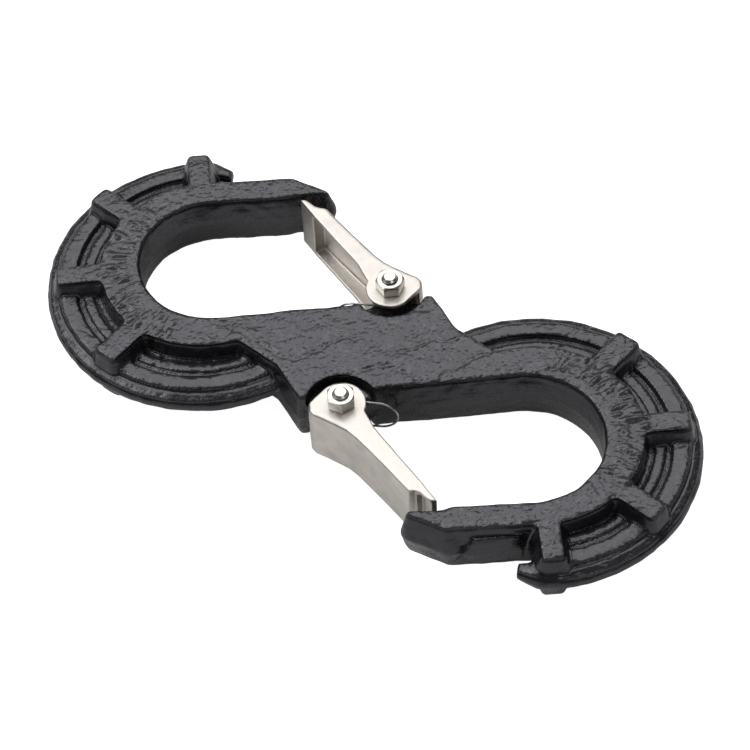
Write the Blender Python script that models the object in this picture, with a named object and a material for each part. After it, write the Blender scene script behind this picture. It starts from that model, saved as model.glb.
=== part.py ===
"""Safety chain hook: an S shaped double hook with two sprung gate latches.

The hook body has half-turn symmetry about Z, so every feature is described once, for the
upper hook (the one whose bowl lies towards -X and +Y), and turned half a turn for the lower.
The origin is the centre of the body, half way through its thickness. +X runs along the beak
arms, +Z stands up out of the flat faces. Sizes below are in millimetres and degrees.
"""
import math

import bmesh
import bpy
from mathutils import Matrix, Vector
from mathutils.geometry import intersect_line_line_2d

MM = 0.001

# Hook body: one flat forging, the same above and below its middle plane
HALF_THICKNESS = 12.3
EDGE_CHAMFER = 1.0          # rounding of every edge of the flat faces
DRAFT = 1.0                 # how far a side wall swells out at the middle plane
ARM_DRAFT = 0.6             # the same along the bars and the beak arm
BEAK_DRAFT = 2.8            # the same on the beak's slanted end
BOWL_CENTRE = (-56.9, 51.2)
BOWL_RADIUS = 29.7
RING_CENTRE = (-60.1, 49.6)
SHANK_RADIUS = 42.6         # outer side of the full-height bar that bends round the bowl
POCKET_END_ANGLE = 283.8    # where the bar's outer side runs into the centre body
ARC_STEP = 7.5

# Centre body and beak, corner by corner round the upper hook
BODY_CORNER = (28.3, 22.6)
BODY_WAIST = (36.0, 5.3)
THROAT_EDGE = [(-3.5, 21.4), (-20.0, 21.7), (-36.0, 21.7)]
BEAK_INNER = [(-25.5, 79.3), (-21.5, 80.3), (-11.5, 80.0)]
NOSE_CENTRE = (-9.3, 80.9)
NOSE_RADIUS = 1.5
NOSE_ARC = (-100.0, 50.0)
BEAK_SHOULDER = (-22.2, 90.7)
BEAK_FLARE = ((-23.6, 90.8), (-26.2, 93.9))     # at the flat face, and at the middle plane
BEAK_FLARE_END = (-28.5, 91.0)

# Pivot lug and the scallops that thin the body down to it on both faces
PIVOT = (12.0, 27.3)
LUG_RADIUS = 7.4
LUG_HALF_THICKNESS = 6.5
LUG_SHOULDER = (24.6, 22.9)
LUG_ARC = (-25.0, 205.0)
SCALLOP_RADIUS = 13.8
LUG_BORE_RADIUS = 4.75

# Decorative rim: a web with two raised rings, crossed by four full-height ribs
RIM_CENTRE = (-61.3, 48.9)
RIM_HALF_PROFILE = [(37.0, 3.8), (44.1, 3.8), (45.3, 5.2), (48.9, 5.2), (49.6, 3.5), (50.8, 3.5),
                    (51.6, 6.2), (58.0, 6.2), (59.4, 3.7), (61.9, 3.3), (63.1, 2.2), (63.6, 0.0)]
RIM_ANGLES = (88.0, 299.0)
TAIL_HALF_PROFILE = [(54.4, 3.2), (55.8, 4.6), (61.0, 4.5), (63.0, 2.9), (63.8, 0.0)]
TAIL_ANGLES = (91.0, 75.0)
TAIL_TURN_IN = 2.6
TAIL_END_SCALE = 0.62
RIBS = [(90.0, 9.3, 58.4), (135.0, 9.6, 59.4), (180.0, 9.6, 60.0), (225.0, 10.6, 59.9)]
RIB_INNER_END = 36.5
RIB_FOOT = 3.0              # height of the rib's widest section, sunk in the web
RIB_SIDE_SPREAD = 2.6       # how much wider each side is there than at the top
RIB_END_SPREAD = 1.7
RIB_EDGE_CHAMFER = 0.7
RIB_TOP_CUT = 1.0           # corners cut off the rib's outer end, at its top and at its foot
RIB_FOOT_CUT = 3.0
RIB_TOP_DROP = 0.1          # how far the rib's top stays under the bar's

# Low ledge along the outside of the beak arm
LEDGE_X = (-50.4, -31.5, -27.0)
LEDGE_Y = (86.0, 93.7, 94.4)
LEDGE_HALF_THICKNESS = 7.2

# Latch: one folded sheet channel, open towards the bowl, with an ear at each flange's end
SHEET = 1.8
LATCH_HALF_HEIGHT = 13.0
LATCH_BEND = 1.3
EAR_RADIUS = 9.8
EAR_ARC = (152.0, 300.0)
EAR_BORE_RADIUS = 3.35
LATCH_BACK = [(24.8, 26.2), (24.8, 29.7), (23.4, 31.9)]
LATCH_WEB = [(20.0, 34.2), (15.0, 37.9), (11.0, 41.1), (8.0, 44.7), (5.0, 49.1), (-0.6, 57.6),
             (-9.4, 71.4)]
LATCH_TIP_NOTCH = [(-12.2, 72.0), (-14.4, 73.2), (-16.1, 75.4), (-17.9, 77.1), (-20.0, 77.3)]
LATCH_INNER_SIDE = [(-15.2, 68.0), (-7.0, 53.5), (-2.0, 44.9), (0.4, 40.4), (1.8, 36.2)]
TIP_PLATE_LENGTH = 9.4      # the plate under the beak, which ends in a lip across to the web
HOLLOW_REACH = 60.0         # longer than the latch, for finding where two of its lines cross
HOLLOW_OVERSHOOT = 6.0      # how far a hollow runs past the sheet that it opens through
POCKET_WIDTH = 20.0         # wider than the mouth of the hollow behind the lip
OPEN_SIDE = [(-20.0, 20.0), (0.0, 5.0)]     # corners of the channel's hollow, clear of the sheet
CUT_PAST = 2.0              # how far a cutter runs beyond the faces that it goes through

# Pivot hardware: M6 bolt with its nut on the upper face, and the tube that the lug turns on
FIT_GAP = 0.3
BOLT_RADIUS = 3.0
HEX_ACROSS_FLATS = 10.0
HEAD_HEIGHT = 4.0
NUT_HEIGHT = 5.0
BOLT_TOP = 19.9
BOLT_END_CHAMFER = 0.8
HEX_CORNER_CHAMFER = 0.7
HEX_TURNING_OVER = 0.3      # the turning's widest part, past the hexagon's corners
HEX_TURNING_UNDER = 0.1     # its narrow end, inside the hexagon's flats
HEAD_TURN = 12.0            # degrees between a bolt's head and its nut
TUBE_RADIUS = 4.35
ROUND_SEGMENTS = 32

# Double torsion spring: two coils joined by a loop, with one leg each along the latch's web
WIRE_RADIUS = 0.5
COIL_RADIUS = 5.4
COIL_START_Z = 7.4
COIL_PITCH = 1.15
COIL_STEPS_PER_TURN = 14
COIL_TURNS = 2
LOOP_DIRECTION = 166.5      # degrees, the way the loop's wires leave the coils
LOOP_REACH = 21.0
LEG_DIRECTION = 130.6
LEG_LENGTH = 19.0
LOOP_STEPS = 8

COLOURS = {
    "painted_steel": ((0.025, 0.025, 0.028), 0.42, 0.0),
    "latch_stainless": ((0.66, 0.64, 0.61), 0.32, 1.0),
    "spring_steel": ((0.42, 0.42, 0.41), 0.30, 1.0),
    "bolt_steel": ((0.62, 0.60, 0.56), 0.26, 1.0),
    "tube_steel": ((0.45, 0.45, 0.45), 0.35, 1.0),
}


def polar(centre, radius, angle):
    """Point at an angle in degrees round a centre."""
    turn = math.radians(angle)
    return (centre[0] + radius * math.cos(turn), centre[1] + radius * math.sin(turn))


def arc(centre, radius, start, end, step=ARC_STEP):
    """Points of an arc, both ends included."""
    count = max(2, round(abs(end - start) / step))
    return [polar(centre, radius, start + (end - start) * i / count) for i in range(count + 1)]


def offset_outline(outline, distances):
    """Move each corner of a counter-clockwise outline outwards by its own distance."""
    moved = []
    count = len(outline)
    for i, (corner, distance) in enumerate(zip(outline, distances)):
        here = Vector(corner)
        before = (here - Vector(outline[i - 1])).normalized()
        after = (Vector(outline[(i + 1) % count]) - here).normalized()
        normal_before = Vector((before.y, -before.x))
        normal_after = Vector((after.y, -after.x))
        middle = (normal_before + normal_after).normalized()
        stretch = max(0.5, middle.dot(normal_before))
        moved.append(tuple(here + middle * (distance / stretch)))
    return moved


def loft(name, levels):
    """Closed solid through outlines of equal length, given as (z, outline) from the bottom up."""
    mesh = bmesh.new()
    loops = [[mesh.verts.new((x * MM, y * MM, z * MM)) for x, y in outline] for z, outline in levels]
    count = len(loops[0])
    for low, high in zip(loops, loops[1:]):
        for i in range(count):
            j = (i + 1) % count
            mesh.faces.new((low[i], low[j], high[j], high[i]))
    mesh.faces.new(loops[-1])
    mesh.faces.new(list(reversed(loops[0])))
    return mesh_object(name, mesh)


def prism(name, outline, bottom, top):
    """Straight extrusion of one outline."""
    return loft(name, [(bottom, outline), (top, outline)])


def revolved_sector(name, profile, start, end, turn_in=0.0, end_scale=1.0):
    """Closed sector: a (radius, z) profile carried round the rim, curling in towards its end."""
    mesh = bmesh.new()
    count = max(2, round(abs(end - start) / ARC_STEP))
    middle_radius = sum(radius for radius, _ in profile) / len(profile)
    loops = []
    for i in range(count + 1):
        shrink = end_scale if i == count else 1.0
        curl = turn_in * (i / count) ** 2
        loop = []
        for radius, z in profile:
            scaled = middle_radius + (radius - middle_radius) * shrink - curl
            x, y = polar(RIM_CENTRE, scaled, start + (end - start) * i / count)
            loop.append(mesh.verts.new((x * MM, y * MM, z * shrink * MM)))
        loops.append(loop)
    sides = len(profile)
    for near, far in zip(loops, loops[1:]):
        for i in range(sides):
            j = (i + 1) % sides
            mesh.faces.new((near[i], near[j], far[j], far[i]))
    mesh.faces.new(loops[0])
    mesh.faces.new(loops[-1])
    return mesh_object(name, mesh)


def mesh_object(name, mesh):
    """Turn a bmesh into a scene object with its faces facing out."""
    bmesh.ops.recalc_face_normals(mesh, faces=mesh.faces[:])
    data = bpy.data.meshes.new(name)
    mesh.to_mesh(data)
    mesh.free()
    obj = bpy.data.objects.new(name, data)
    bpy.context.scene.collection.objects.link(obj)
    return obj


def cylinder(name, centre, radius, bottom, top):
    """Upright cylinder."""
    circle = [polar(centre, radius, 360.0 * i / ROUND_SEGMENTS) for i in range(ROUND_SEGMENTS)]
    return prism(name, circle, bottom, top)


def combine(target, tool, operation):
    """Join, cut or intersect one solid with another and keep the result in the target's mesh."""
    modifier = target.modifiers.new(operation.lower(), "BOOLEAN")
    modifier.operation = operation
    modifier.solver = "EXACT"
    modifier.object = tool
    graph = bpy.context.evaluated_depsgraph_get()
    result = bpy.data.meshes.new_from_object(target.evaluated_get(graph))
    target.modifiers.clear()
    target.data = result
    bpy.data.objects.remove(tool)


def half_turned(obj, name):
    """Copy turned half a turn about Z, with the turn carried into its mesh."""
    copy = bpy.data.objects.new(name, obj.data.copy())
    copy.data.transform(Matrix.Rotation(math.pi, 4, "Z"))
    bpy.context.scene.collection.objects.link(copy)
    return copy


def upper_outline():
    """Corners round the upper half of the body, counter-clockwise.

    Each is (point on the flat face's edge, what it swells to at the middle plane), where the
    swelling is a distance outwards, or a point of its own.
    """
    bowl = arc(BOWL_CENTRE, BOWL_RADIUS, 270.0, 90.0)
    shank = arc(RING_CENTRE, SHANK_RADIUS, 90.0, POCKET_END_ANGLE)
    lug = arc(PIVOT, LUG_RADIUS, LUG_ARC[0], LUG_ARC[1], 15.0)
    nose = arc(NOSE_CENTRE, NOSE_RADIUS, NOSE_ARC[0], NOSE_ARC[1], 30.0)
    corners = [(BODY_CORNER, DRAFT), (LUG_SHOULDER, 0.0)]
    corners += [(point, 0.0) for point in lug]
    corners += [(point, DRAFT) for point in THROAT_EDGE + bowl]
    corners += [(point, ARM_DRAFT) for point in BEAK_INNER]
    for i, point in enumerate(nose):
        share = min(1.0, 2.0 * i / len(nose))
        corners.append((point, ARM_DRAFT + (BEAK_DRAFT - ARM_DRAFT) * share))
    corners += [(BEAK_SHOULDER, BEAK_DRAFT), BEAK_FLARE, (BEAK_FLARE_END, ARM_DRAFT)]
    corners += [(point, ARM_DRAFT) for point in shank]
    corners += [((-BODY_WAIST[0], -BODY_WAIST[1]), DRAFT)]
    return corners


def make_core():
    """Full-height part of the body: both bars, both beaks, the centre and the pivot lugs."""
    upper = upper_outline()
    turned = []
    for (x, y), swell in upper:
        turned_swell = (-swell[0], -swell[1]) if isinstance(swell, tuple) else swell
        turned.append(((-x, -y), turned_swell))
    outline = [point for point, _ in upper + turned]
    swells = [swell for _, swell in upper + turned]
    distances = [0.0 if isinstance(swell, tuple) else swell for swell in swells]
    middle = offset_outline(outline, distances)
    for i, swell in enumerate(swells):
        if isinstance(swell, tuple):
            middle[i] = swell
    shrunk = offset_outline(outline, [-EDGE_CHAMFER] * len(outline))
    shoulder = HALF_THICKNESS - EDGE_CHAMFER
    levels = [(-HALF_THICKNESS, shrunk), (-shoulder, outline), (0.0, middle),
              (shoulder, outline), (HALF_THICKNESS, shrunk)]
    return loft("hook_body", levels)


def closed_profile(half_profile):
    """Mirror an upper half profile below the middle plane."""
    lower = [(radius, -z) for radius, z in reversed(half_profile) if z > 0.0]
    return half_profile + lower


def make_rib(angle, width, outer_end):
    """One radial rib with sloping sides, through the full thickness of the rim."""
    top = HALF_THICKNESS - RIB_TOP_DROP
    shoulder = top - RIB_EDGE_CHAMFER

    def section(z, spread, end, cut):
        half = width / 2 + spread
        corners = [(RIB_INNER_END, -half), (end - cut, -half), (end, cut - half),
                   (end, half - cut), (end - cut, half), (RIB_INNER_END, half)]
        turn = Matrix.Rotation(math.radians(angle), 2)
        placed = [turn @ Vector(corner) + Vector(RING_CENTRE) for corner in corners]
        return (z, [tuple(point) for point in placed])

    upper = [section(RIB_FOOT, RIB_SIDE_SPREAD, outer_end + RIB_END_SPREAD, RIB_FOOT_CUT),
             section(shoulder, 0.0, outer_end, RIB_TOP_CUT),
             section(top, -RIB_EDGE_CHAMFER, outer_end - RIB_EDGE_CHAMFER, RIB_TOP_CUT)]
    lower = [(-z, outline) for z, outline in reversed(upper)]
    return loft("rib", lower + upper)


def make_ledge():
    """Low ledge along the beak arm, with its end by the beak slanting back from its middle."""
    left, right, right_middle = LEDGE_X
    inner, outer, outer_middle = LEDGE_Y
    edge = [(left, inner), (right, inner), (right, outer), (left + 0.9, outer), (left, outer - 1.6)]
    middle = [(left, inner), (right_middle, inner), (right_middle, outer_middle),
              (left + 0.4, outer_middle), (left - 0.4, outer_middle - 1.4)]
    half = LEDGE_HALF_THICKNESS
    return loft("ledge", [(-half, edge), (0.0, middle), (half, edge)])


def combine_both(body, piece, operation):
    """Apply one upper-hook solid to the body, and its half-turned copy as well."""
    combine(body, half_turned(piece, "turned_piece"), operation)
    combine(body, piece, operation)


def make_hook_body():
    """Core less its scallops and bores, joined with the rim, tail, ledge and ribs of each hook."""
    body = make_core()
    beyond = HALF_THICKNESS + 2.0
    for bottom, top in ((LUG_HALF_THICKNESS, beyond), (-beyond, -LUG_HALF_THICKNESS)):
        combine_both(body, cylinder("scallop", PIVOT, SCALLOP_RADIUS, bottom, top), "DIFFERENCE")
    combine_both(body, cylinder("bore", PIVOT, LUG_BORE_RADIUS, -beyond, beyond), "DIFFERENCE")
    rim = revolved_sector("rim", closed_profile(RIM_HALF_PROFILE), *RIM_ANGLES)
    combine(rim, revolved_sector("tail", closed_profile(TAIL_HALF_PROFILE), *TAIL_ANGLES,
                                 TAIL_TURN_IN, TAIL_END_SCALE), "UNION")
    for angle, width, outer_end in RIBS:
        combine(rim, make_rib(angle, width, outer_end), "UNION")
    combine_both(body, rim, "UNION")
    combine_both(body, make_ledge(), "UNION")
    return body


def latch_outline():
    """Plan of the latch at rest, counter-clockwise from the back corner of its web."""
    ear = arc(PIVOT, EAR_RADIUS, EAR_ARC[0], EAR_ARC[1], 12.0)
    return LATCH_BACK + LATCH_WEB + LATCH_TIP_NOTCH + LATCH_INNER_SIDE + ear


def latch_hollows():
    """Plans of what the fold leaves open: inside the web as far as the lip, and past the lip."""
    web = LATCH_BACK + LATCH_WEB
    inside = offset_outline(web, [-SHEET] * len(web))[1:-1]
    back_x = LATCH_BACK[0][0] - SHEET
    plate_start = Vector(LATCH_TIP_NOTCH[-1])
    along = (Vector(LATCH_INNER_SIDE[0]) - plate_start).normalized()
    across = Vector((-along.y, along.x))
    lip_foot = plate_start + along * TIP_PLATE_LENGTH
    web_direction = (Vector(LATCH_WEB[-1]) - Vector(LATCH_WEB[-2])).normalized()
    last_inside = Vector(inside[-1])
    lip_head = intersect_line_line_2d(lip_foot, lip_foot + across * HOLLOW_REACH,
                                      last_inside, last_inside + web_direction * HOLLOW_REACH)
    past_mouth = lip_foot - across * HOLLOW_OVERSHOOT
    around = OPEN_SIDE + [(back_x, OPEN_SIDE[-1][1])]
    channel = [(back_x, LATCH_BACK[0][1])] + inside
    channel += [tuple(point) for point in (lip_head, lip_foot, past_mouth)] + around
    pocket_corner = lip_foot - along * SHEET + across * SHEET
    past_end = plate_start - along * HOLLOW_OVERSHOOT + across * SHEET
    outward = across * POCKET_WIDTH
    pocket = [past_end, pocket_corner, pocket_corner + outward, past_end + outward]
    return channel, [tuple(point) for point in pocket]


def make_latch():
    """Channel latch for the upper hook, in its place at rest."""
    latch = prism("latch", latch_outline(), -LATCH_HALF_HEIGHT, LATCH_HALF_HEIGHT)
    bend_count = len(LATCH_BACK) + len(LATCH_WEB)
    mesh = bmesh.new()
    mesh.from_mesh(latch.data)
    mesh.verts.ensure_lookup_table()
    corner_count = len(mesh.verts) // 2
    bends = []
    for edge in mesh.edges:
        low, high = sorted(vert.index for vert in edge.verts)
        same_level = low // corner_count == high // corner_count
        if same_level and high - low == 1 and high % corner_count < bend_count:
            bends.append(edge)
    bmesh.ops.bevel(mesh, geom=bends, offset=LATCH_BEND * MM, offset_type="OFFSET", segments=2,
                    profile=0.5, affect="EDGES")
    mesh.to_mesh(latch.data)
    mesh.free()
    inner = LATCH_HALF_HEIGHT - SHEET
    for hollow in latch_hollows():
        combine(latch, prism("hollow", hollow, -inner, inner), "DIFFERENCE")
    beyond = LATCH_HALF_HEIGHT + CUT_PAST
    combine(latch, cylinder("ear_bores", PIVOT, EAR_BORE_RADIUS, -beyond, beyond), "DIFFERENCE")
    return latch


def hexagon(turn):
    """Hexagon across the spanner flats, turned by some degrees."""
    corner_radius = HEX_ACROSS_FLATS / math.sqrt(3.0)
    return [polar(PIVOT, corner_radius, turn + 60.0 * i) for i in range(6)]


def make_hex(name, bottom, top, turn, chamfer_bottom, chamfer_top):
    """Hexagonal block with its corners turned down to a cone at the ends that show."""
    block = prism(name, hexagon(turn), bottom, top)
    corner_radius = HEX_ACROSS_FLATS / math.sqrt(3.0) + HEX_TURNING_OVER
    flat_radius = HEX_ACROSS_FLATS / 2 - HEX_TURNING_UNDER
    wide = [polar(PIVOT, corner_radius, 360.0 * i / ROUND_SEGMENTS) for i in range(ROUND_SEGMENTS)]
    narrow = [polar(PIVOT, flat_radius, 360.0 * i / ROUND_SEGMENTS) for i in range(ROUND_SEGMENTS)]
    levels = [(bottom, narrow if chamfer_bottom else wide),
              (bottom + HEX_CORNER_CHAMFER, wide),
              (top - HEX_CORNER_CHAMFER, wide),
              (top, narrow if chamfer_top else wide)]
    combine(block, loft("turning", levels), "INTERSECT")
    return block


def make_bolt(turn):
    """Bolt with its hexagon head under the lower ear."""
    under_ear = -LATCH_HALF_HEIGHT - FIT_GAP
    head = make_hex("bolt", under_ear - HEAD_HEIGHT, under_ear, turn, True, False)
    full = [polar(PIVOT, BOLT_RADIUS, 360.0 * i / ROUND_SEGMENTS) for i in range(ROUND_SEGMENTS)]
    tip_radius = BOLT_RADIUS - BOLT_END_CHAMFER
    tip = [polar(PIVOT, tip_radius, 360.0 * i / ROUND_SEGMENTS) for i in range(ROUND_SEGMENTS)]
    shank = loft("shank", [(under_ear - HEAD_HEIGHT / 2, full), (BOLT_TOP - BOLT_END_CHAMFER, full),
                           (BOLT_TOP, tip)])
    combine(head, shank, "UNION")
    return head


def make_nut(turn):
    """Nut on the upper ear."""
    on_ear = LATCH_HALF_HEIGHT + FIT_GAP
    nut = make_hex("nut", on_ear, on_ear + NUT_HEIGHT, turn, False, True)
    hole = cylinder("nut_hole", PIVOT, BOLT_RADIUS + FIT_GAP, on_ear - CUT_PAST, BOLT_TOP + CUT_PAST)
    combine(nut, hole, "DIFFERENCE")
    return nut


def make_tube():
    """Spacer tube between the ears, round the bolt: the journal that the lug's bore carries."""
    reach = LATCH_HALF_HEIGHT - SHEET - FIT_GAP
    tube = cylinder("tube", PIVOT, TUBE_RADIUS, -reach, reach)
    hole = cylinder("tube_hole", PIVOT, BOLT_RADIUS + FIT_GAP, -reach - CUT_PAST, reach + CUT_PAST)
    combine(tube, hole, "DIFFERENCE")
    return tube


def spring_half():
    """Centre line above the middle plane, from the loop's far end to the leg's end."""
    outward = Vector(polar((0.0, 0.0), 1.0, LOOP_DIRECTION))
    coil_start = LOOP_DIRECTION + 90.0
    loop_from = Vector(polar(PIVOT, COIL_RADIUS, coil_start))
    points = []
    for i in range(LOOP_STEPS + 1):
        bend = 0.5 * math.pi * i / LOOP_STEPS
        reach = LOOP_REACH - COIL_START_Z * (1.0 - math.cos(bend))
        flat = loop_from + outward * reach
        points.append((flat.x, flat.y, COIL_START_Z * math.sin(bend)))
    leg_start = LEG_DIRECTION - 90.0
    sweep = (leg_start - coil_start) % 360.0 + 360.0 * COIL_TURNS
    steps = round(sweep / 360.0 * COIL_STEPS_PER_TURN)
    for i in range(steps + 1):
        x, y = polar(PIVOT, COIL_RADIUS, coil_start + sweep * i / steps)
        points.append((x, y, COIL_START_Z + COIL_PITCH * sweep / 360.0 * i / steps))
    leg = Vector(polar((0.0, 0.0), LEG_LENGTH, LEG_DIRECTION))
    last = Vector(points[-1])
    points.append((last.x + leg.x, last.y + leg.y, last.z))
    return points


def make_spring():
    """Double torsion spring as one bent wire."""
    upper = spring_half()
    lower = [(x, y, -z) for x, y, z in reversed(upper[1:])]
    line = lower + upper
    curve = bpy.data.curves.new("spring", "CURVE")
    curve.dimensions = "3D"
    curve.bevel_depth = WIRE_RADIUS * MM
    curve.bevel_resolution = 1
    curve.use_fill_caps = True
    spline = curve.splines.new("POLY")
    spline.points.add(len(line) - 1)
    for point, (x, y, z) in zip(spline.points, line):
        point.co = (x * MM, y * MM, z * MM, 1.0)
    spring = bpy.data.objects.new("spring", curve)
    bpy.context.scene.collection.objects.link(spring)
    return spring


def material(slot):
    """Plain Principled BSDF of one finish."""
    found = bpy.data.materials.get(slot)
    if found:
        return found
    colour, roughness, metallic = COLOURS[slot]
    made = bpy.data.materials.new(slot)
    made.use_nodes = True
    shader = made.node_tree.nodes["Principled BSDF"]
    shader.inputs["Base Color"].default_value = (*colour, 1.0)
    shader.inputs["Roughness"].default_value = roughness
    shader.inputs["Metallic"].default_value = metallic
    made.diffuse_color = (*colour, 1.0)
    return made


def finish(obj, name, slot, smooth=False):
    """Name a finished sub-part and give it a material of its own."""
    obj.name = name
    obj.data.name = name
    own = material(slot).copy()
    own.name = name + "_finish"
    obj.data.materials.clear()
    obj.data.materials.append(own)
    if smooth:
        obj.data.polygons.foreach_set("use_smooth", [True] * len(obj.data.polygons))


def hang_on_pivot(obj, pivot):
    """Move an object's origin onto its pivot and make it a child of the pivot's empty."""
    offset = Matrix.Translation(-pivot.location)
    obj.data.transform(offset)
    obj.parent = pivot


def make_latch_set(side, half_turn, nut_turn):
    """One latch with its pivot hardware, on an empty that stands on the hinge's axis."""
    pivot = bpy.data.objects.new(side + "_latch_pivot", None)
    pivot.location = Vector((PIVOT[0] * MM, PIVOT[1] * MM, 0.0))
    bpy.context.scene.collection.objects.link(pivot)
    pieces = [(make_latch(), "_latch", "latch_stainless"),
              (make_tube(), "_spacer_tube", "tube_steel"),
              (make_bolt(nut_turn + HEAD_TURN), "_pivot_bolt", "bolt_steel"),
              (make_nut(nut_turn), "_nut", "bolt_steel")]
    for obj, ending, slot in pieces:
        finish(obj, side + ending, slot)
        hang_on_pivot(obj, pivot)
    spring = make_spring()
    finish(spring, side + "_spring", "spring_steel")
    hang_on_pivot(spring, pivot)
    if half_turn:
        pivot.location = -pivot.location
        pivot.rotation_euler.z = math.pi


def main():
    """Clear the scene and build the whole hook."""
    for obj in list(bpy.data.objects):
        bpy.data.objects.remove(obj)
    finish(make_hook_body(), "hook_body", "painted_steel")
    make_latch_set("left", False, 0.0)
    make_latch_set("right", True, 30.0)


main()
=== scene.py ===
"""Looks of the safety chain hook: a rough black casting, satin gate latches, nuts, bolts and springs.

Every piece is made from the CAD node it stands for, so it keeps that node's place and size.
Sizes below are in millimetres and degrees.
"""
import math

import bpy
import numpy as np
from mathutils import Matrix, Vector


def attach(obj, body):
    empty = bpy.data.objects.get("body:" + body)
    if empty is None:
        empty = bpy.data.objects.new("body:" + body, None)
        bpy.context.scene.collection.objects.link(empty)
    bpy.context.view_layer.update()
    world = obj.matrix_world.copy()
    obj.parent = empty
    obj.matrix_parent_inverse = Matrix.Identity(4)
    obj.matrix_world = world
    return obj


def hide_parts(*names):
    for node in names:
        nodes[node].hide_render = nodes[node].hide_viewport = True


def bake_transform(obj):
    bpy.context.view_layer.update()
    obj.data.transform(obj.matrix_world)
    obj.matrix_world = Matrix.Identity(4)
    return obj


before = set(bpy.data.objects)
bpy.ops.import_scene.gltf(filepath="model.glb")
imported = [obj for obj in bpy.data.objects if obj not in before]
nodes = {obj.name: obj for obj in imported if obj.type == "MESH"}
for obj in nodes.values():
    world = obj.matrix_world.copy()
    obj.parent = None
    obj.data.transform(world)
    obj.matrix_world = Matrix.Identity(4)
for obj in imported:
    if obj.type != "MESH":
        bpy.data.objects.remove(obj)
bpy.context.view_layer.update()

MM = 0.001
SIDES = {"left": 1.0, "right": -1.0}        # the right hook is the left one turned half a turn

# Camera: elevation, roll and turn about Z, distance, and where the middle of the view falls
CAMERA_ELEVATION = 52.42
CAMERA_ROLL = 3.338
CAMERA_TURN = -2.48
CAMERA_DISTANCE = 1156.7
CAMERA_OFFSET = (3.45, -11.29)
CAMERA_LENS = 142.4
CAMERA_TARGET_Z = 11.7

# Hook body
RIM_CENTRE = (-61.3, 48.9)
BODY_VOXEL = 0.6
BODY_SMOOTHING = 14
RIM_SMOOTHING = 14
RIM_ROUNDED = (46.0, 51.0)  # distance from the rim's centre where its extra rounding fades in
RIM_REACH = 70.0            # and where it stops, past the ribs
WALL_TILT = 0.12            # extra slope of the side walls away from their middle line

# Relief of the casting: the depth and the size of each kind of feature
SWELL = (0.50, 11.0)
LUMPS = (0.30, 4.6)
GRAIN = (0.22, 3.2)
FINE_GRAIN = (0.08, 1.7)
STREAK_DEPTH = 0.10
STREAK_SIZE = (16.0, 16.0, 2.2)
PATCH_SIZE = 15.0
PATCH_LEAST = 0.25          # grain in the smoothest patches, and how much more in the roughest
PATCH_MORE = 1.4
BEND_GRAIN = 1.25           # grain on the bends, and how much less in the centre and on the rings
CENTRE_CALM = 0.60
RING_CALM = 0.65
RING_PAINTED_SHADE = 0.50           # painted shade: share of the flat faces' painted grey sheen that the rim's low rings lose
RING_TOP = (8.0, 10.0)      # height that tells the low rings from the full-height faces
CENTRE_EDGE = (24.0, 32.0)  # distance along Y where the centre body gives way to the bends
HAMMERED_DEPTH = 2.6        # scale-like dents on the bends
HAMMERED_SINK = 0.45
HAMMERED_SIZE = (2.9, 7.5, 9.0)
BAR_RADIUS = 36.0
BAR_INNER = (28.0, 31.0)
BAR_OUTER = (41.5, 43.5)
BEND_START = (100.0, 140.0)
BEND_END = (235.0, 270.0)
CREASE_DEPTH = 0.38
CREASE_WIDTH = 0.065
CREASE_SIZE = (27.0, 19.0, 30.0)
CREASE_WANDER = (0.15, 5.0)
# sizes of the painted glint spots on the flat faces
PAINTED_GLINT_SIZES = (1.35, 2.3)

# Gate latch and its hardware
LATCH_VOXEL = 0.32
LATCH_SMOOTHING = 12
LATCH_WAVES = (0.30, 9.0)
LATCH_DINGS = (0.06, 3.0)

# Floor
FLOOR_Z = -17.6
FLOOR_BOUNCE = 0.08         # glow that the hook sees from below
FLOOR_GLOW = 0.95           # washes the floor out to white where it is seen directly


# Geometry helpers

def vertex_positions(mesh):
    """Vertex positions of a mesh in millimetres."""
    flat = np.zeros(len(mesh.vertices) * 3)
    mesh.vertices.foreach_get("co", flat)
    return flat.reshape(-1, 3) / MM


def vertex_normals(mesh):
    """Vertex normals of a mesh."""
    flat = np.zeros(len(mesh.vertices) * 3)
    mesh.vertices.foreach_get("normal", flat)
    return flat.reshape(-1, 3)


def set_positions(mesh, positions):
    """Write positions in millimetres back to a mesh."""
    mesh.vertices.foreach_set("co", (positions * MM).ravel())
    mesh.update()


def set_value(mesh, name, values):
    """Store one number per vertex, for a material to read."""
    attribute = mesh.attributes.new(name, "FLOAT", "POINT")
    attribute.data.foreach_set("value", values.astype(np.float32))


def smooth_step(values, low, high):
    """Rise from 0 to 1 between two values."""
    share = np.clip((values - low) / (high - low), 0.0, 1.0)
    return share * share * (3.0 - 2.0 * share)


def noise(points, seed):
    """Gradient noise, roughly -0.7 to 0.7, one feature per unit of the points' space."""
    cell = np.floor(points).astype(np.int64)
    local = points - cell
    ease = local ** 3 * (local * (local * 6.0 - 15.0) + 10.0)
    total = np.zeros(len(points))
    for corner in np.ndindex(2, 2, 2):
        x, y, z = ((cell + corner) & 0xFFFF).astype(np.uint64).T
        key = x * np.uint64(73856093) ^ y * np.uint64(19349663) ^ z * np.uint64(83492791)
        key = (key + np.uint64(seed * 40503)) & np.uint64(0xFFFFFFFF)
        key = ((key ^ (key >> np.uint64(15))) * np.uint64(2246822519)) & np.uint64(0xFFFFFFFF)
        key = ((key ^ (key >> np.uint64(13))) * np.uint64(3266489917)) & np.uint64(0xFFFFFFFF)
        weight = np.ones(len(points))
        slope = np.zeros(len(points))
        for axis in range(3):
            part = (key >> np.uint64(10 * axis)) & np.uint64(1023)
            slope += (part.astype(float) / 511.5 - 1.0) * (local[:, axis] - corner[axis])
            share = ease[:, axis]
            weight *= share if corner[axis] else 1.0 - share
        total += weight * slope
    return total


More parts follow.
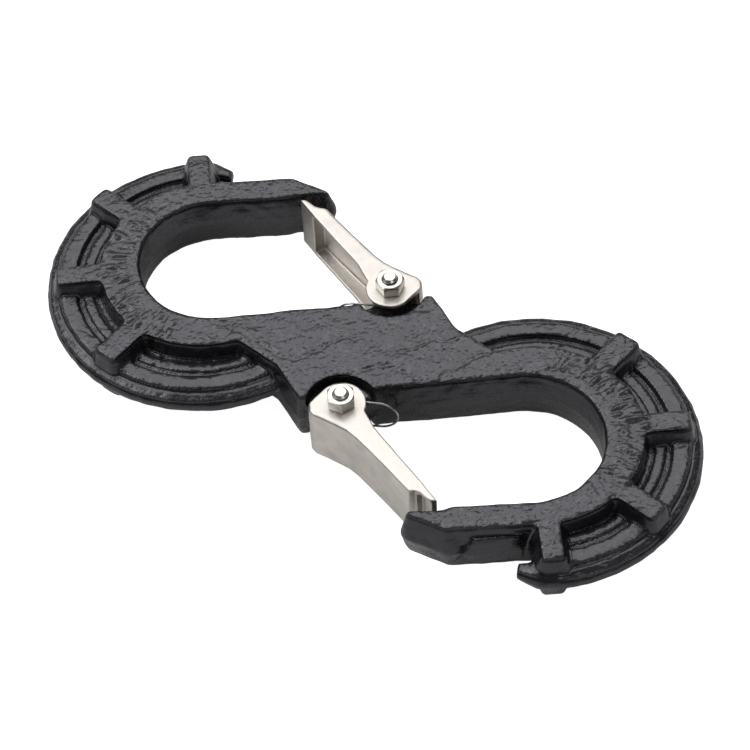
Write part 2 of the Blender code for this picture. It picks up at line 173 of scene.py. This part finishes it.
def copy_node(node, name):
    """New object with a copy of a CAD node's mesh."""
    piece = bpy.data.objects.new(name, nodes[node].data.copy())
    piece.data.materials.clear()
    bpy.context.scene.collection.objects.link(piece)
    return piece


def apply_modifiers(piece):
    """Bake an object's modifiers into its mesh."""
    graph = bpy.context.evaluated_depsgraph_get()
    baked = bpy.data.meshes.new_from_object(piece.evaluated_get(graph))
    piece.modifiers.clear()
    piece.data = baked


def fine_skin(piece, voxel, smoothing):
    """Remesh a solid finely and round its edges off."""
    remesh = piece.modifiers.new("skin", "REMESH")
    remesh.mode = "VOXEL"
    remesh.voxel_size = voxel * MM
    rounding = piece.modifiers.new("rounding", "SMOOTH")
    rounding.factor = 0.5
    rounding.iterations = smoothing
    apply_modifiers(piece)


def round_more(piece, weights, smoothing):
    """Round a piece further where the weights say so."""
    group = piece.vertex_groups.new(name="rounded")
    for step in range(1, 5):
        chosen = np.flatnonzero(np.round(weights * 4.0) == step)
        group.add(chosen.tolist(), step / 4.0, "REPLACE")
    rounding = piece.modifiers.new("rounding", "SMOOTH")
    rounding.factor = 0.5
    rounding.iterations = smoothing
    rounding.vertex_group = group.name
    apply_modifiers(piece)
    piece.vertex_groups.clear()


def shade_smooth(piece):
    """Smooth shading all over."""
    piece.data.polygons.foreach_set("use_smooth", [True] * len(piece.data.polygons))


def place(piece, body, node, material):
    """Hang a piece on a body in place of its CAD node."""
    piece.data.materials.append(material)
    shade_smooth(piece)
    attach(piece, body)
    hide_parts(node)


# Materials

class Nodes:
    """Small helper for building a material's node tree."""

    def __init__(self, name):
        self.material = bpy.data.materials.new(name)
        self.material.use_nodes = True
        self.tree = self.material.node_tree
        self.shader = self.tree.nodes["Principled BSDF"]

    def add(self, kind, values=None, **settings):
        """New node with its settings and its sockets' values."""
        made = self.tree.nodes.new(kind)
        for key, value in settings.items():
            setattr(made, key, value)
        for socket, value in (values or {}).items():
            self.put(made.inputs[socket], value)
        return made

    def put(self, socket, value):
        """Set a socket, or link another socket to it."""
        if isinstance(value, bpy.types.NodeSocket):
            self.tree.links.new(value, socket)
        else:
            socket.default_value = value

    def place(self, stretch=(1.0, 1.0, 1.0)):
        """Object position in millimetres, stretched per axis."""
        where = self.add("ShaderNodeTexCoord").outputs["Object"]
        scale = tuple(s / MM for s in stretch)
        return self.add("ShaderNodeMapping", {"Vector": where, "Scale": scale}).outputs["Vector"]

    def grain(self, size, detail=3.0, stretch=(1.0, 1.0, 1.0), rough=0.55):
        """Noise with features of a size in millimetres."""
        values = {"Vector": self.place(stretch), "Scale": 1.0 / size, "Detail": detail,
                  "Roughness": rough}
        return self.add("ShaderNodeTexNoise", values).outputs["Fac"]

    def ramp(self, value, low, high, bottom, top):
        """Map low..high of a value to bottom..top, clamped."""
        values = {"Value": value, "From Min": low, "From Max": high, "To Min": bottom,
                  "To Max": top}
        return self.add("ShaderNodeMapRange", values, interpolation_type="SMOOTHSTEP").outputs[0]

    def math(self, operation, first, second):
        """Arithmetic on two values."""
        made = self.add("ShaderNodeMath", operation=operation)
        self.put(made.inputs[0], first)
        self.put(made.inputs[1], second)
        return made.outputs[0]

    def mix(self, share, first, second):
        """Mix of two colours."""
        made = self.add("ShaderNodeMix", data_type="RGBA")
        self.put(made.inputs[0], share)
        self.put(made.inputs[6], first)
        self.put(made.inputs[7], second)
        return made.outputs[2]

    def bump(self, height, depth, normal=None):
        """Bump of a depth in millimetres."""
        values = {"Height": height, "Distance": depth * MM, "Strength": 1.0}
        if normal is not None:
            values["Normal"] = normal
        return self.add("ShaderNodeBump", values).outputs["Normal"]


def paint_material():
    """Semi-gloss black paint over a rough casting: glossier walls, grainier flat faces with a painted
    grey sheen and painted glint spots.
    """
    n = Nodes("black_casting_paint")
    flat = n.add("ShaderNodeAttribute", attribute_name="flatness_and_painted_sheen").outputs["Fac"]
    glint_spots = n.add("ShaderNodeAttribute", attribute_name="painted_glints").outputs["Fac"]
    cloud = n.grain(9.0, 4.0)
    fine = n.grain(1.5, 1.5, rough=0.5)
    wall_colour = n.mix(n.ramp(cloud, 0.3, 0.7, 0.0, 1.0), (0.004, 0.004, 0.005, 1.0),
                        (0.009, 0.009, 0.011, 1.0))
    # painted sheen: the flat faces are painted greyer than the black walls, standing in for the
    # light's sheen on the upward faces
    painted_sheen_colour = n.mix(n.ramp(fine, 0.35, 0.7, 0.0, 1.0), (0.030, 0.030, 0.034, 1.0),
                        (0.046, 0.045, 0.050, 1.0))
    colour = n.mix(flat, wall_colour, painted_sheen_colour)
    # painted highlight: lighter, glossier spots on the flat faces stand in for glints of the light
    colour = n.mix(n.math("MULTIPLY", glint_spots, 0.55), colour, (0.110, 0.109, 0.115, 1.0))
    n.put(n.shader.inputs["Base Color"], colour)
    rough = n.ramp(fine, 0.3, 0.75, 0.20, 0.32)
    rough = n.math("ADD", rough, n.math("MULTIPLY", flat, 0.04))
    rough = n.math("SUBTRACT", rough, n.math("MULTIPLY", glint_spots, 0.08))
    n.put(n.shader.inputs["Roughness"], rough)
    n.shader.inputs["Specular IOR Level"].default_value = 0.76
    n.shader.inputs["Specular Tint"].default_value = (0.94, 0.93, 1.0, 1.0)
    pitted = n.math("MULTIPLY", fine, n.ramp(flat, 0.0, 1.0, 0.10, 1.0))
    coarse = n.grain(3.4, 1.0)
    normal = n.bump(n.math("MULTIPLY", coarse, n.ramp(flat, 0.0, 1.0, 0.12, 1.0)), 0.50)
    normal = n.bump(pitted, 0.40, normal)
    streaks = n.grain(1.3, 3.0, (0.07, 0.07, 1.0))
    sides_only = n.ramp(flat, 0.0, 0.6, 1.0, 0.0)
    normal = n.bump(n.math("MULTIPLY", streaks, sides_only), 0.09, normal)
    height = n.add("ShaderNodeSeparateXYZ", {"Vector": n.place()}).outputs["Z"]
    slope = n.math("MULTIPLY", n.math("ABSOLUTE", height, 0.0), sides_only)
    normal = n.bump(n.math("MULTIPLY", slope, -WALL_TILT), 1.0, normal)
    n.put(n.shader.inputs["Normal"], normal)
    return n.material


def steel_material(name, dark, light, rough_low, rough_high, brush, depth, size=0.5):
    """Bare or plated steel: cloudy colour, fine lines stretched one way, soft sheen."""
    n = Nodes(name)
    cloud = n.grain(7.0, 4.0)
    lines = n.grain(size, 3.0, brush)
    colour = n.mix(n.ramp(cloud, 0.3, 0.7, 0.0, 1.0), dark, light)
    n.put(n.shader.inputs["Base Color"], colour)
    n.shader.inputs["Metallic"].default_value = 1.0
    shine = n.math("MULTIPLY", n.ramp(cloud, 0.3, 0.7, 0.0, 1.0), 0.4)
    shine = n.math("ADD", shine, n.math("MULTIPLY", lines, 0.6))
    n.put(n.shader.inputs["Roughness"], n.ramp(shine, 0.2, 0.8, rough_low, rough_high))
    n.put(n.shader.inputs["Normal"], n.bump(lines, depth))
    return n.material


paint = paint_material()
latch_steel = steel_material("satin_stainless", (0.61, 0.575, 0.535, 1.0), (0.76, 0.718, 0.670, 1.0),
                             0.36, 0.50, (1.0, 1.0, 0.35), 0.02)
nut_steel = steel_material("bright_zinc", (0.62, 0.60, 0.56, 1.0), (0.80, 0.78, 0.73, 1.0),
                           0.24, 0.38, (1.0, 1.0, 0.5), 0.015)
wire_steel = steel_material("drawn_wire", (0.45, 0.45, 0.44, 1.0), (0.66, 0.66, 0.64, 1.0),
                            0.20, 0.36, (0.4, 0.4, 1.0), 0.008, 0.3)
tube_steel = steel_material("turned_tube", (0.30, 0.30, 0.30, 1.0), (0.45, 0.45, 0.44, 1.0),
                            0.26, 0.42, (0.2, 0.2, 1.0), 0.012, 0.3)


# Hook body

def features(points, kind, seed):
    """Noise with the depth and the size of one kind of feature."""
    depth, size = kind
    return depth * noise(points / size, seed)


def rim_place(points, turn):
    """Distance in millimetres and angle in degrees of points round one hook's rim."""
    away = points[:, :2] * turn - np.array(RIM_CENTRE)
    return np.hypot(away[:, 0], away[:, 1]), np.degrees(np.arctan2(away[:, 1], away[:, 0])) % 360.0


def casting_relief(points, normals):
    """How far each point of the skin stands proud, and its flatness, which sets the painted grey
    sheen of the flat faces, with painted shade on the rim's low rings.
    """
    flat = smooth_step(np.abs(normals[:, 2]), 0.55, 0.92)
    wall = 1.0 - smooth_step(np.abs(normals[:, 2]), 0.15, 0.5)
    relief = features(points, SWELL, 1) + features(points, LUMPS, 2)
    patches = PATCH_LEAST + PATCH_MORE * smooth_step(noise(points / PATCH_SIZE, 10), -0.25, 0.40)
    near_centre = 1.0 - smooth_step(np.abs(points[:, 1]), *CENTRE_EDGE)
    sunken = 1.0 - smooth_step(np.abs(points[:, 2]), *RING_TOP)
    amount = flat * patches * (BEND_GRAIN - CENTRE_CALM * near_centre) * (1.0 - RING_CALM * sunken)
    relief += amount * (features(points, GRAIN, 3) + features(points, FINE_GRAIN, 4))
    relief += wall * STREAK_DEPTH * noise(points / np.array(STREAK_SIZE), 5)
    for side, turn in SIDES.items():
        radius, angle = rim_place(points, turn)
        along = np.radians(angle) * BAR_RADIUS
        on_bar = smooth_step(radius, *BAR_INNER) * (1.0 - smooth_step(radius, *BAR_OUTER))
        on_bend = smooth_step(angle, *BEND_START) * (1.0 - smooth_step(angle, *BEND_END))
        place_in_bar = np.stack([along, radius, points[:, 2]], 1) / np.array(HAMMERED_SIZE)
        dents = np.abs(noise(place_in_bar, 6 if side == "left" else 7))
        relief += flat * on_bar * on_bend * (HAMMERED_DEPTH * dents - HAMMERED_SINK)
    wander = features(points, CREASE_WANDER, 8)[:, None]
    crease = np.abs(noise(points / np.array(CREASE_SIZE) + wander, 9))
    relief -= flat * near_centre * CREASE_DEPTH * (1.0 - smooth_step(crease, 0.0, CREASE_WIDTH))
    # painted shade: the rim's low rings keep only part of the flat faces' painted grey sheen
    return relief, flat * (1.0 - RING_PAINTED_SHADE * sunken)


def make_body():
    """The casting: a fine rounded skin with its relief."""
    piece = copy_node("hook_body", "casting")
    fine_skin(piece, BODY_VOXEL, BODY_SMOOTHING)
    points = vertex_positions(piece.data)
    radius = np.minimum(*[rim_place(points, turn)[0] for turn in SIDES.values()])
    round_more(piece, smooth_step(radius, *RIM_ROUNDED) * (radius < RIM_REACH), RIM_SMOOTHING)
    points = vertex_positions(piece.data)
    normals = vertex_normals(piece.data)
    relief, flat = casting_relief(points, normals)
    set_positions(piece.data, points + normals * relief[:, None])
    # the flatness also sets how much painted grey sheen the paint gives each flat face
    set_value(piece.data, "flatness_and_painted_sheen", flat)
    # painted highlight: noise spots on the flat faces, stored for the paint to lighten
    fine_size, coarse_size = PAINTED_GLINT_SIZES
    high = noise(points / fine_size, 4) + noise(points / coarse_size, 3)
    set_value(piece.data, "painted_glints", flat * smooth_step(high, 0.05, 0.75))
    place(piece, "hook", "hook_body", paint)


# Latches, nuts, bolts and springs

def make_latch(side):
    """Folded sheet latch with rounded folds and a slightly uneven skin."""
    piece = copy_node(side + "_latch", side + "_gate")
    fine_skin(piece, LATCH_VOXEL, LATCH_SMOOTHING)
    points = vertex_positions(piece.data)
    normals = vertex_normals(piece.data)
    turned = points * SIDES[side]
    relief = features(turned, LATCH_WAVES, 11) + features(turned, LATCH_DINGS, 12)
    set_positions(piece.data, points + normals * relief[:, None])
    place(piece, side + "_gate", side + "_latch", latch_steel)


def make_edged(side, node, width, material):
    """CAD piece with its sharp edges broken."""
    piece = copy_node(side + "_" + node, side + "_" + node + "_turned")
    weld = piece.modifiers.new("weld", "WELD")
    weld.merge_threshold = 0.01 * MM
    bevel = piece.modifiers.new("edges", "BEVEL")
    bevel.width = width * MM
    bevel.segments = 3
    bevel.limit_method = "ANGLE"
    bevel.angle_limit = math.radians(25.0)
    bevel.harden_normals = False
    apply_modifiers(piece)
    place(piece, side + "_gate", side + "_" + node, material)
    piece.data.set_sharp_from_angle(angle=math.radians(35.0))


def make_spring(side):
    """Spring wire, rounded off and left where the CAD spring stands."""
    piece = copy_node(side + "_spring", side + "_spring_wire")
    weld = piece.modifiers.new("weld", "WELD")
    weld.merge_threshold = 0.01 * MM
    subdivision = piece.modifiers.new("round", "SUBSURF")
    subdivision.levels = 1
    subdivision.render_levels = 1
    apply_modifiers(piece)
    piece.data.materials.append(wire_steel)
    shade_smooth(piece)
    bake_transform(piece)
    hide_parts(side + "_spring")


# Floor, lights and camera

def make_floor():
    """Large pale floor under the hook."""
    mesh = bpy.data.meshes.new("floor")
    reach = 6.0
    corners = [(-reach, -reach, 0.0), (reach, -reach, 0.0), (reach, reach, 0.0), (-reach, reach, 0.0)]
    mesh.from_pydata(corners, [], [(0, 1, 2, 3)])
    floor = bpy.data.objects.new("floor", mesh)
    floor.location.z = FLOOR_Z * MM
    bpy.context.scene.collection.objects.link(floor)
    n = Nodes("pale_floor")
    n.put(n.shader.inputs["Base Color"], (0.85, 0.85, 0.85, 1.0))
    n.shader.inputs["Roughness"].default_value = 0.9
    n.shader.inputs["Emission Color"].default_value = (1.0, 1.0, 1.0, 1.0)
    seen = n.add("ShaderNodeLightPath").outputs["Is Camera Ray"]
    glow = n.math("ADD", n.math("MULTIPLY", seen, FLOOR_GLOW - FLOOR_BOUNCE), FLOOR_BOUNCE)
    n.put(n.shader.inputs["Emission Strength"], glow)
    mesh.materials.append(n.material)


def make_softbox(name, azimuth, elevation, distance, size, power, colour=(1.0, 1.0, 1.0)):
    """Rectangular light that looks at the hook from a direction."""
    light = bpy.data.lights.new(name, "AREA")
    light.shape = "RECTANGLE"
    light.size, light.size_y = size
    light.energy = power
    light.color = colour
    lamp = bpy.data.objects.new(name, light)
    turn, rise = math.radians(azimuth), math.radians(elevation)
    away = Vector((math.sin(turn) * math.cos(rise), math.cos(turn) * math.cos(rise), math.sin(rise)))
    lamp.location = away * distance
    lamp.rotation_euler = away.to_track_quat("Z", "Y").to_euler()
    bpy.context.scene.collection.objects.link(lamp)


def make_lights():
    """Soft studio light: a big panel behind and above, one at the left, a weak one in front."""
    make_softbox("back_panel", -6.0, 59.0, 1.5, (2.2, 1.2), 16.0)
    make_softbox("side_panel", -85.0, 50.0, 1.5, (0.9, 0.9), 6.0)
    make_softbox("front_panel", 150.0, 35.0, 1.8, (0.8, 0.6), 2.5)
    world = bpy.data.worlds.new("studio")
    world.use_nodes = True
    background = world.node_tree.nodes["Background"]
    background.inputs["Color"].default_value = (1.0, 1.0, 1.0, 1.0)
    background.inputs["Strength"].default_value = 0.10
    bpy.context.scene.world = world
    bpy.context.scene.view_settings.view_transform = "Standard"


def make_camera():
    """Camera from the front and above, with a long lens."""
    rise, roll = math.radians(CAMERA_ELEVATION), math.radians(CAMERA_ROLL)
    c, s = math.cos(roll), math.sin(roll)
    right = Vector((c, -s * math.sin(rise), -s * math.cos(rise)))
    up = Vector((s, c * math.sin(rise), c * math.cos(rise)))
    back = Vector((0.0, -math.cos(rise), math.sin(rise)))
    where = back * CAMERA_DISTANCE + right * CAMERA_OFFSET[0] + up * CAMERA_OFFSET[1]
    where.z += CAMERA_TARGET_Z
    turn = Matrix.Rotation(math.radians(CAMERA_TURN), 3, "Z")
    basis = turn @ Matrix((right, up, back)).transposed()
    lens = bpy.data.cameras.new("camera")
    lens.lens = CAMERA_LENS
    lens.sensor_width = 36.0
    lens.clip_start = 0.05
    camera = bpy.data.objects.new("camera", lens)
    camera.matrix_world = Matrix.LocRotScale(turn @ where * MM, basis.to_quaternion(), None)
    bpy.context.scene.collection.objects.link(camera)
    bpy.context.scene.camera = camera


make_camera()
make_lights()
make_floor()
make_body()
for side in SIDES:
    make_latch(side)
    make_edged(side, "nut", 0.18, nut_steel)
    make_edged(side, "pivot_bolt", 0.30, nut_steel)
    make_edged(side, "spacer_tube", 0.20, tube_steel)
    make_spring(side)
